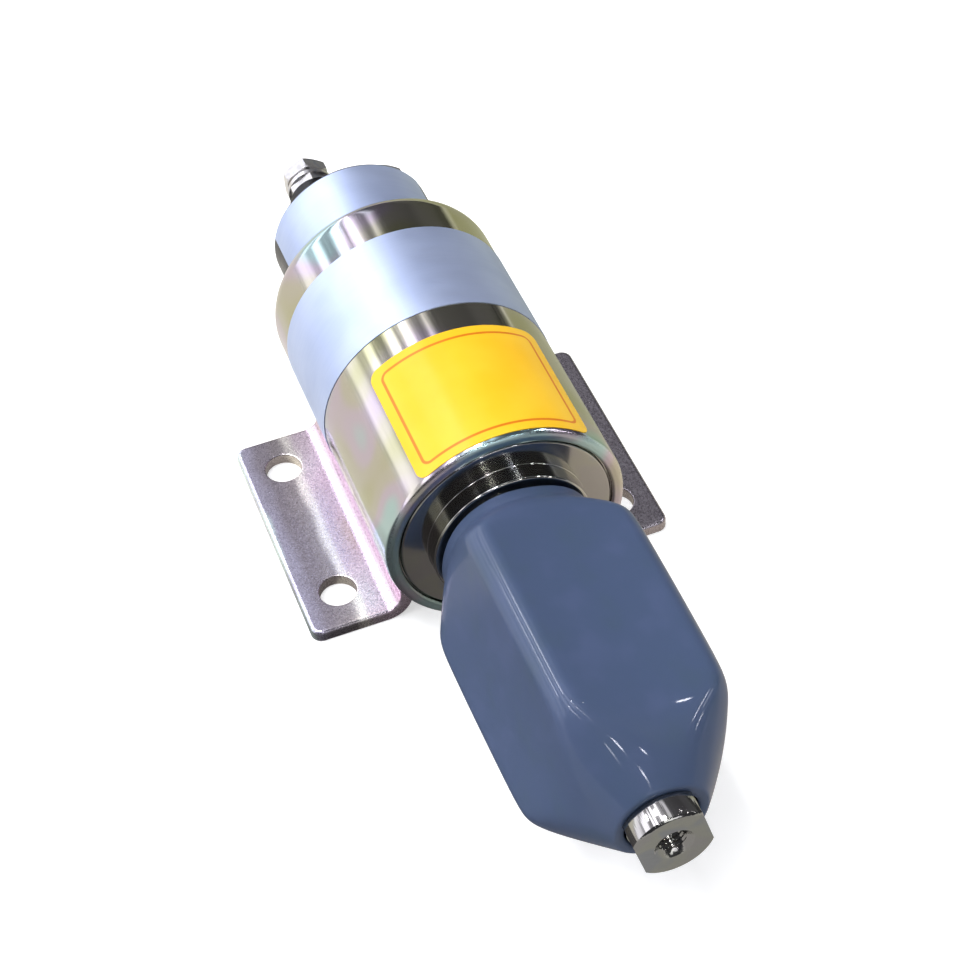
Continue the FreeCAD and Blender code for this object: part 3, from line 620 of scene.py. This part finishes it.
def plunger_surface():
    """The bar's surface by station and angle. Each station is (x, radius in millimetres, on the
    head or not). On the head it is cut to the flats, radius = half width / |cos(angle - turn)|, and
    in the hole it carries a triangle wave."""
    corner = np.arccos(flat_half / (bar_radius * mm))
    edge = np.concatenate([flat_turn + side + np.array([-corner, corner]) for side in (0, np.pi)])
    angle = np.sort(np.concatenate([np.linspace(0, 2 * np.pi, 160, endpoint=False), edge % (2 * np.pi)]))
    neck = head_start - neck_length
    ring_groove = spring_seat + 1.2 * mm
    bar = [
        (plunger_tip, 0.0, 0),
        (plunger_tip, 4.4, 0),
        (plunger_tip + 0.3 * mm, 4.8, 0),
        (plunger_tip + 5.9 * mm, 8.3, 0),
        (plunger_tip + 6.1 * mm, bar_radius, 0),
        (ring_groove, bar_radius, 0),
        (ring_groove, ring_groove_radius, 0),
        (ring_groove + ring_groove_width, ring_groove_radius, 0),
        (ring_groove + ring_groove_width, bar_radius, 0),
        (neck, bar_radius, 0),
        (neck, neck_radius, 0),
        (head_start, neck_radius, 0),
        (head_start, 8.15, 1),
        (head_start + 0.1 * mm, 8.32, 1),
        (head_start + 0.25 * mm, bar_radius, 1),
        (plunger_end - 0.5 * mm, bar_radius, 1),
        (plunger_end - 0.42 * mm, 8.36, 1),
        (plunger_end - 0.08 * mm, 8.02, 1),
        (plunger_end, 7.9, 1),
        (plunger_end, 7.7, 1),
        (plunger_end, 4.15, 0),
        (plunger_end, 4.0, 0),
        (plunger_end - 0.05 * mm, 3.9, 0),
        (plunger_end - 1.0 * mm, 2.8, 0),
    ]
    x = np.array([row[0] for row in bar])[:, None] + 0 * angle
    radius = np.array([row[1] for row in bar])[:, None] * mm + 0 * angle
    on_head = np.array([row[2] for row in bar], bool)[:, None]
    flat = flat_half / np.maximum(np.abs(np.cos(angle - flat_turn)), 1e-6)
    radius = np.where(on_head, np.minimum(radius, flat), radius)
    hole_x = np.arange(plunger_end - 1.05 * mm, plunger_end - link_depth, -link_pitch / 10)[:, None]
    crest = 1 - 2 * np.abs((hole_x / link_pitch - angle / (2 * np.pi)) % 1.0 - 0.5)
    x = np.vstack([x, hole_x + 0 * angle, np.full((1, len(angle)), hole_x[-1, 0])])
    radius = np.vstack([radius, link_radius + link_thread * crest, np.zeros((1, len(angle)))])
    return np.stack([x, radius * np.cos(angle), axis_up + radius * np.sin(angle)], -1)


zinc_bar = turned_zinc("bright_zinc_on_plunger", head_start)
plunger_bar = skin("plunger_bar", plunger_surface(), zinc_bar, rows_closed=False, sharp=32)
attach(plunger_bar, "plunger_set")
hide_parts("plunger")

# Boot: a hollow blue grey rubber moulding, square with four round ridges and hollow faces. Its
# collar snaps behind the snout's bead, and its nose grips the plunger's neck. Sizes are in
# millimetres, as is the place along it, from the collar's edge.
boot_turn = np.radians(-14.0)
collar_radius = 16.4
collar_end = 2.9
collar_slope = 1.15
collar_softness = 0.8
crest_radius = 23.6
crest_taper = 0.4
face_radius = 17.2
face_nose_radius = 12.5
face_nose_slope = 0.4
ridge_radius = 4.0
nose_radius = 9.5
nose_slope = 0.88
softness = 2.2
boot_wall = 1.6
collar_round = 0.45
nose_round = 0.35
nose_lip = 3.2
neck_steps = (8.6, 7.6, 7.3, 7.3)
bead_steps = (12.7, 12.7, 12.9)


def ridge_share(angle):
    """0 in the middle of a face and 1 on a ridge: ridge arcs and hollow face arcs, all tangent, where
    a face arc's centre lies straight out from the face's middle."""
    reach = crest_radius - ridge_radius
    side = reach * np.sqrt(0.5)
    low = face_radius - ridge_radius
    far = (low**2 - 2 * side**2) / (2 * (low - side))
    span = np.hypot(far - side, side)
    touch = np.arctan2(side - ridge_radius * side / span, side + ridge_radius * (far - side) / span)
    bearing = np.abs((angle + np.pi / 4) % (np.pi / 2) - np.pi / 4)
    hollow = far * np.cos(bearing) - np.sqrt((far - face_radius) ** 2 - (far * np.sin(bearing)) ** 2)
    swing = np.pi / 4 - bearing
    ridge = reach * np.cos(swing) + np.sqrt(
        np.maximum(ridge_radius**2 - (reach * np.sin(swing)) ** 2, 0)
    )
    radius = np.where(bearing < touch, hollow, ridge)
    return (radius - face_radius) / (crest_radius - face_radius)


def lower(one, other, softness):
    """The lower of two lines with a rounded corner: (a + b - root((a - b)^2 + s^2)) / 2."""
    return (one + other - np.hypot(one - other, softness)) / 2


def boot_profile(x):
    """Radii of ridge crests and face middles, and of the round cut that makes the collar and the
    conical nose, at x: each line = radius + slope * distance, joined to the next by lower()."""
    opening = collar_radius + collar_slope * (x - collar_end)
    rise = -lower(-opening, -collar_radius + 0 * x, collar_softness)
    cut = lower(rise, nose_radius + nose_slope * (boot_long - x), softness)
    face = lower(face_radius + 0 * x, face_nose_radius + face_nose_slope * (boot_long - x), softness)
    return crest_radius - crest_taper * x / boot_long, face, cut


def boot_surface():
    """Outer skin, nose lip, neck, inner skin, bead and collar lip as one closed path of stations,
    carried round the axis: radius = lower(face + (crest - face) * ridge share, cut) - inset."""
    outer = np.linspace(collar_round, boot_long - nose_round, 190)
    inner = np.linspace(boot_long - nose_lip - 0.1, 1.5, 60)
    lip = np.linspace(0, np.pi / 2, 5)
    x = np.concatenate(
        [
            outer,
            boot_long - nose_round + nose_round * np.sin(lip[1:]),
            [boot_long, boot_long, boot_long - 0.2, boot_long - nose_lip],
            inner,
            [1.3, 1.3, 0.2, 0.0, 0.0],
            collar_round - collar_round * np.cos(lip[:-1]),
        ]
    )
    inset = np.concatenate(
        [
            0 * outer,
            nose_round * (1 - np.cos(lip[1:])),
            [0, 0, 0, 0],
            boot_wall + 0 * inner,
            [boot_wall, 0, 0, 0, 0.6],
            collar_round * (1 - np.sin(lip[:-1])),
        ]
    )
    neck = len(outer) + len(lip) - 1
    bead = neck + len(neck_steps) + len(inner) + 1
    plain = np.zeros(len(x))
    plain[neck : neck + len(neck_steps)] = neck_steps
    plain[bead : bead + len(bead_steps)] = bead_steps
    angle = np.linspace(0, 2 * np.pi, 288, endpoint=False)
    crest, face, cut = (place[:, None] for place in boot_profile(x))
    radius = lower(face + (crest - face) * ridge_share(angle), cut, softness) - inset[:, None]
    radius = np.where(plain[:, None] > 0, plain[:, None], radius) * mm
    x = boot_start + x[:, None] * mm + 0 * angle
    return np.stack(
        [x, radius * np.cos(angle + boot_turn), axis_up + radius * np.sin(angle + boot_turn)], -1
    )


# Moulded rubber: a half gloss under the shine of a polished mould, mottled a little between two blue
# greys, with a fine pebble.
boot_rubber, surface, spot = new_finish(
    "blue_grey_rubber", Roughness=0.45, Specular_IOR_Level=0.14, Coat_Weight=0.35, Coat_Roughness=0.05
)
mottle = grain(boot_rubber, spot, 9 * mm)
rubber_tint = stops(
    add(boot_rubber, "ValToRGB", links={"Fac": mottle}),
    (0.25, "#45546a"),
    (0.50, "#46546e"),
    (0.75, "#4a5773"),
)
join(boot_rubber, rubber_tint, surface.inputs["Base Color"])
pebble = grain(boot_rubber, spot, 0.6 * mm, detail=3.0, roughness=0.6)
bloom = add(
    boot_rubber,
    "MapRange",
    {"From Min": 0.2, "From Max": 0.8, "To Min": 0.4, "To Max": 0.5},
    {"Value": mottle},
)
join(boot_rubber, bloom.outputs["Result"], surface.inputs["Roughness"])
relief(boot_rubber, surface, pebble, 0.008 * mm)

rubber_boot = skin("rubber_boot", boot_surface(), boot_rubber)
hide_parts("boot")
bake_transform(rubber_boot)

# Silver films: printed satin foil labels round the can and on the terminal cap. What they said is
# left off. They read as pale blue silver, smoother along the foil's rolling direction.
silver_film, surface, spot = new_finish("satin_silver_foil", Metallic=0.7, Roughness=0.45)
rolled = add(silver_film, "Mapping", {"Scale": (1.0, 0.06, 0.06)}, {"Vector": spot}).outputs["Vector"]
rolling = grain(silver_film, rolled, 0.5 * mm, detail=3.0)
foil_patch = grain(silver_film, spot, 16 * mm)
foil_tint = stops(
    add(silver_film, "ValToRGB", links={"Fac": foil_patch}),
    (0.35, "#afbdda"),
    (0.65, "#b9c6e1"),
)
join(silver_film, foil_tint, surface.inputs["Base Color"])
satin = add(
    silver_film,
    "MapRange",
    {"From Min": 0.35, "From Max": 0.65, "To Min": 0.40, "To Max": 0.50},
    {"Value": rolling},
)
join(silver_film, satin.outputs["Result"], surface.inputs["Roughness"])
dress(silver_film, "can_label", "terminal_label")

# Yellow film: a glossy vinyl label behind the front lip, left blank but for the thin orange line
# printed near its edge.
yellow_film, surface, spot = new_finish("glossy_yellow_vinyl", Roughness=0.26, Specular_IOR_Level=0.22)
centred = add(yellow_film, "Mapping", {"Location": (0, 0, -axis_up)}, {"Vector": spot}).outputs["Vector"]
axes = add(yellow_film, "SeparateXYZ", links={"Vector": centred}).outputs
turn = add(yellow_film, "Math", links={0: axes["Z"], 1: axes["Y"]}, operation="ARCTAN2").outputs["Value"]
label_middle = 22.6 * mm
label_low_edge = 43.5
label_high_edge = 131.0
label_turn = np.radians((label_low_edge + label_high_edge) / 2)
line_half_x = 13.1 * mm
line_half_arc = 16.9 * mm
line_corner = 1.6 * mm
line_width = 0.5 * mm
line_blur = 0.12 * mm
over_x = add(yellow_film, "Math", {1: label_middle}, {0: axes["X"]}, operation="SUBTRACT").outputs["Value"]
over_arc = add(yellow_film, "Math", {1: label_turn}, {0: turn}, operation="SUBTRACT").outputs["Value"]
over_arc = add(yellow_film, "Math", {1: can_radius}, {0: over_arc}, operation="MULTIPLY").outputs["Value"]
past = []
for over, half in ((over_x, line_half_x), (over_arc, line_half_arc)):
    size = add(yellow_film, "Math", links={0: over}, operation="ABSOLUTE").outputs["Value"]
    past.append(
        add(yellow_film, "Math", {1: half - line_corner}, {0: size}, operation="SUBTRACT").outputs["Value"]
    )
corner_x, corner_arc = (
    add(yellow_film, "Math", {1: 0.0}, {0: value}, operation="MAXIMUM").outputs["Value"] for value in past
)
outside = add(yellow_film, "CombineXYZ", links={"X": corner_x, "Y": corner_arc}).outputs["Vector"]
outside = add(yellow_film, "VectorMath", links={0: outside}, operation="LENGTH").outputs["Value"]
larger = add(yellow_film, "Math", links={0: past[0], 1: past[1]}, operation="MAXIMUM").outputs["Value"]
inside = add(yellow_film, "Math", {1: 0.0}, {0: larger}, operation="MINIMUM").outputs["Value"]
edge = add(yellow_film, "Math", links={0: outside, 1: inside}, operation="ADD").outputs["Value"]
edge = add(yellow_film, "Math", {1: line_corner}, {0: edge}, operation="SUBTRACT").outputs["Value"]
edge = add(yellow_film, "Math", links={0: edge}, operation="ABSOLUTE").outputs["Value"]
on_line = add(
    yellow_film,
    "MapRange",
    {"From Min": line_width / 2, "From Max": line_width / 2 + line_blur, "To Min": 1.0, "To Max": 0.0},
    {"Value": edge},
).outputs["Result"]
fade = grain(yellow_film, spot, 14 * mm)
ink_base = stops(add(yellow_film, "ValToRGB", links={"Fac": fade}), (0.35, "#f7bf26"), (0.65, "#f9c631"))
printed = add(
    yellow_film, "Mix", {"B": linear("#d97b1c")}, {"Factor": on_line, "A": ink_base}, data_type="RGBA"
)
join(yellow_film, printed.outputs["Result"], surface.inputs["Base Color"])
peel = grain(yellow_film, spot, 1.5 * mm)
relief(yellow_film, surface, peel, 0.01 * mm)
dress(yellow_film, "yellow_label")

# Studio: a pale floor that the camera sees white, and a soft room. Metal mirrors the floor as cream on
# the left and darker olive on the right, and ahead of the plate as painted shade of the boot, from dark
# grey on its left to cream on its right and mid grey past its end, as in the photograph. Those tints are
# for mirrored rays alone, and they tint the floor's lift as well, so the painted shade shows in the lift
# too.
floor_half = 3
floor_drop = 0.0002
floor_lift = 0.55
floor_mesh = bpy.data.meshes.new("floor")
corners = [(floor_half * x, floor_half * y, 0) for x, y in ((-1, -1), (1, -1), (1, 1), (-1, 1))]
floor_mesh.from_pydata(corners, [], [(0, 1, 2, 3)])
floor = bpy.data.objects.new("floor", floor_mesh)
floor.location = (0, 0, -floor_drop)
bpy.context.scene.collection.objects.link(floor)
pale_floor, surface, spot = new_finish("pale_studio_floor", Roughness=0.9, Specular_IOR_Level=0.1)
paper = grain(pale_floor, spot, 4 * mm)
paper_tint = stops(
    add(pale_floor, "ValToRGB", links={"Fac": paper}), (0.3, "#dddcd6"), (0.7, "#e1e0da")
)
place = add(pale_floor, "SeparateXYZ", links={"Vector": spot}).outputs
sideways = add(
    pale_floor,
    "MapRange",
    {"From Min": -0.1, "From Max": 0.1},
    {"Value": place["Y"]},
    interpolation_type="SMOOTHSTEP",
).outputs["Result"]
back_tint = stops(
    add(pale_floor, "ValToRGB", links={"Fac": sideways}), (0.35, "#c0bcb0"), (0.75, "#8e8e77")
)
beside = add(
    pale_floor, "MapRange", {"From Min": -0.04, "From Max": 0.05}, {"Value": place["Y"]}
).outputs["Result"]
# Painted shade: mirrors see the floor ahead of the plate dark grey on the boot's left, standing in for the
# boot's shadow, and cream on its right. Past the boot's end it turns mid grey.
painted_shade_ahead = stops(
    add(pale_floor, "ValToRGB", links={"Fac": beside}),
    (0.15, "#434140"),
    (0.36, "#7b7772"),
    (0.50, "#7b7772"),
    (0.62, "#c4bbab"),
)
past_end = add(
    pale_floor, "MapRange", {"From Min": 0.115, "From Max": 0.13}, {"Value": place["X"]}
).outputs["Result"]
painted_shade_ahead = add(
    pale_floor, "Mix", {"B": linear("#92918b")}, {"Factor": past_end, "A": painted_shade_ahead}, data_type="RGBA"
).outputs["Result"]
ahead = add(
    pale_floor, "MapRange", {"From Min": -0.01, "From Max": 0.03}, {"Value": place["X"]}
).outputs["Result"]
mirrored_tint_and_painted_shade = add(
    pale_floor, "Mix", links={"Factor": ahead, "A": back_tint, "B": painted_shade_ahead}, data_type="RGBA"
).outputs["Result"]
seen = add(pale_floor, "LightPath").outputs
floor_tint = add(
    pale_floor,
    "Mix",
    links={"Factor": seen["Is Glossy Ray"], "A": paper_tint, "B": mirrored_tint_and_painted_shade},
    data_type="RGBA",
).outputs["Result"]
join(pale_floor, floor_tint, surface.inputs["Base Color"])
shown = seen["Is Camera Ray"]
for other in ("Is Transmission Ray", "Is Glossy Ray"):
    shown = add(pale_floor, "Math", links={0: shown, 1: seen[other]}, operation="MAXIMUM").outputs["Value"]
lift = add(pale_floor, "Math", {1: floor_lift}, {0: shown}, operation="MULTIPLY").outputs["Value"]
join(pale_floor, lift, surface.inputs["Emission Strength"])
# Mirrored rays get the lift in the mirrored tint, which carries the painted shade ahead of the plate.
lift_tint = add(
    pale_floor,
    "Mix",
    {"A": linear("#ffffff")},
    {"Factor": seen["Is Glossy Ray"], "B": mirrored_tint_and_painted_shade},
    data_type="RGBA",
).outputs["Result"]
join(pale_floor, lift_tint, surface.inputs["Emission Color"])
floor_mesh.materials.append(pale_floor)

# Room: rows of lamps hang over the back and the left, as the stripes on the zinc show, with a dark
# ceiling between them and ahead. Each pair is a bearing round the can, from the right, and its light.
room = bpy.data.worlds.new("strip_lit_room")
room.use_nodes = True
bpy.context.scene.world = room
sky = room.node_tree.nodes["Background"]
direction = add(room, "TexCoord").outputs["Generated"]
axes = add(room, "SeparateXYZ", links={"Vector": direction}).outputs
bearing = add(room, "Math", links={0: axes["Z"], 1: axes["Y"]}, operation="ARCTAN2").outputs["Value"]
bearing = add(room, "Math", {1: 1 / np.pi}, {0: bearing}, operation="MULTIPLY").outputs["Value"]
lamp_rows = add(room, "ValToRGB", links={"Fac": bearing})
row_light = (
    (0, 0.05), (12, 0.05), (16, 0.14), (36, 0.14), (42, 0.10), (77, 0.14), (81, 0.5), (83, 1.6),
    (86, 1.6), (88, 0.30), (94, 0.35), (101, 1.0), (103, 4.6), (107, 4.6), (109, 1.2), (112, 0.5),
    (116, 0.6), (119, 4.6), (123, 4.6), (126, 1.2), (128, 0.5), (139, 0.55), (143, 3.0), (149, 3.0),
    (152, 0.8), (158, 0.9), (162, 1.9), (174, 2.2), (177, 0.5), (180, 0.5),
)
brightest = 6.0
row_tint = (0.97, 0.98, 1.08)
tube_tint = (0.97, 0.98, 1.06)
dark_ceiling = (0.06, 0.062, 0.07, 1.0)
white = (1.0, 1.0, 1.0, 1.0)
band = lamp_rows.color_ramp
while len(band.elements) < len(row_light):
    band.elements.new(1.0)
for element, (degrees, light) in zip(band.elements, row_light):
    element.position = degrees / 180
    element.color = (*(channel * light / brightest for channel in row_tint), 1.0)
rows_light = add(
    room, "VectorMath", {1: (brightest,) * 3}, {0: lamp_rows.outputs["Color"]}, operation="MULTIPLY"
)
ahead = add(
    room,
    "MapRange",
    {"From Min": 0.1, "From Max": 0.45},
    {"Value": axes["X"]},
    interpolation_type="SMOOTHSTEP",
).outputs["Result"]
ceiling = add(
    room,
    "Mix",
    {"B": dark_ceiling},
    {"Factor": ahead, "A": rows_light.outputs["Vector"]},
    data_type="RGBA",
).outputs["Result"]

# Tubes: bearing and half width in degrees, reach along X, and light. Each shows as a line or a spot:
# the first two on the boot's ridges, the rest on its nose and on the rounded edges of the metal. The
# last is a broad dim panel ahead.
degrees = add(room, "Math", {1: 180.0}, {0: bearing}, operation="MULTIPLY").outputs["Value"]
for middle, half_width, x_from, x_to, light in (
    (109.0, 3.0, -0.62, -0.36, 20.0),
    (136.0, 3.0, -0.62, -0.36, 16.0),
    (97.0, 1.2, -0.22, 0.60, 22.0),
    (97.0, 1.8, 0.69, 0.73, 60.0),
    (121.5, 1.2, 0.03, 0.60, 16.0),
    (119.0, 2.0, 0.735, 0.757, 18.0),
    (97.2, 2.0, -0.20, -0.10, 60.0),
    (119.0, 2.0, 0.04, 0.12, 40.0),
    (42.3, 0.9, -0.10, 0.26, 40.0),
    (33.0, 1.2, 0.00, 0.20, 16.0),
    (24.0, 1.2, 0.27, 0.39, 36.0),
    (55.2, 0.5, -0.265, -0.235, 80.0),
    (61.3, 2.0, 0.55, 0.59, 60.0),
    (86.4, 2.5, 0.744, 0.754, 60.0),
    (75.0, 36.0, 0.79, 0.92, 2.2),
):
    inside = []
    for place, centre, half in (
        (degrees, middle, half_width),
        (axes["X"], (x_from + x_to) / 2, (x_to - x_from) / 2),
    ):
        off = add(room, "Math", {1: centre}, {0: place}, operation="SUBTRACT").outputs["Value"]
        off = add(room, "Math", links={0: off}, operation="ABSOLUTE").outputs["Value"]
        span = {"From Min": 0.7 * half, "From Max": half, "To Min": 1.0, "To Max": 0.0}
        inside.append(add(room, "MapRange", span, {"Value": off}).outputs["Result"])
    lit = add(room, "Math", links={0: inside[0], 1: inside[1]}, operation="MULTIPLY").outputs["Value"]
    glow = tuple(channel * light for channel in tube_tint)
    tube = add(room, "VectorMath", {0: glow}, {"Scale": lit}, operation="SCALE").outputs["Vector"]
    ceiling = add(room, "VectorMath", links={0: ceiling, 1: tube}, operation="ADD").outputs["Vector"]

# White backdrop: the camera sees it all round, as does light through glass. Metal mirrors it only
# near the horizon, because higher up the photograph's metal mirrors lamps and a dark ceiling.
rays = add(room, "LightPath").outputs
straight = add(
    room, "Math", links={0: rays["Is Camera Ray"], 1: rays["Is Transmission Ray"]}, operation="MAXIMUM"
).outputs["Value"]
near_horizon = add(
    room,
    "MapRange",
    {"From Min": 0.02, "From Max": 0.07, "To Min": 1.0, "To Max": 0.0},
    {"Value": axes["Z"]},
).outputs["Result"]
mirrored = add(
    room, "Math", links={0: rays["Is Glossy Ray"], 1: near_horizon}, operation="MULTIPLY"
).outputs["Value"]
backdrop = add(room, "Math", links={0: straight, 1: mirrored}, operation="MAXIMUM").outputs["Value"]
around = add(
    room, "Mix", {"B": white}, {"Factor": backdrop, "A": ceiling}, data_type="RGBA"
).outputs["Result"]
room.node_tree.links.new(around, sky.inputs["Color"])
sky.inputs["Strength"].default_value = 1.0

# Camera: where the photograph was taken from, 0.49 m away and looking down along the boot.
camera_data = bpy.data.cameras.new("camera")
camera_data.sensor_width = 36.0
camera_data.lens = 83.264
camera_data.clip_start = 0.01
camera_data.clip_end = 20.0
camera = bpy.data.objects.new("camera", camera_data)
camera.location = (0.313210, -0.093942, 0.363601)
camera.rotation_euler = np.radians((42.1460, 2.6964, 69.0648)).tolist()
bpy.context.scene.collection.objects.link(camera)
bpy.context.scene.camera = camera
bpy.context.scene.view_settings.view_transform = "Standard"
